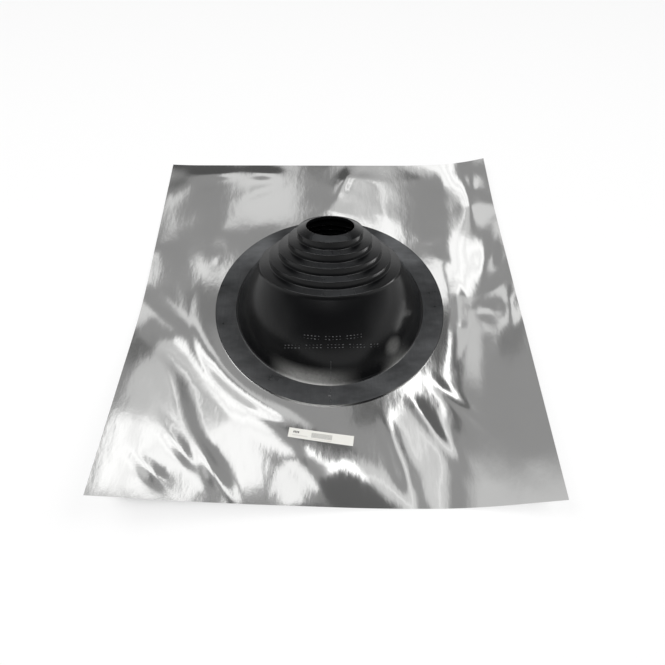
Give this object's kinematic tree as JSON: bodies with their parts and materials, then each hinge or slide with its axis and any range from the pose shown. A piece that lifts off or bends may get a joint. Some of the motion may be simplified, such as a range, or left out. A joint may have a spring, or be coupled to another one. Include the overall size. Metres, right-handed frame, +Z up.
{
  "type": "pipe flashing boot",
  "caption": "Roof flashing for a round vent pipe: a leaning rubber boot with a stepped cone, bonded to a soft square-cut aluminium base sheet.",
  "frame": {"origin": "centre of the base sheet's outline, on its flat underside", "axes": "+Z up off the roof, +Y up the slope along the sheet's longer side, +X to the right across the slope"},
  "size_m": [0.6, 0.67, 0.1446],
  "materials": {
    "aluminium_sheet": "bright rolled mill finish with fine grain, creases and small scratches",
    "black_rubber": "moulded, semi-gloss",
    "label_paper": "smooth white sticker with plain marks"
  },
  "bodies": {
    "root": {"base_sheet": "aluminium_sheet", "rubber_boot": "black_rubber", "label_sticker": "label_paper"}
  },
  "joints": []
}
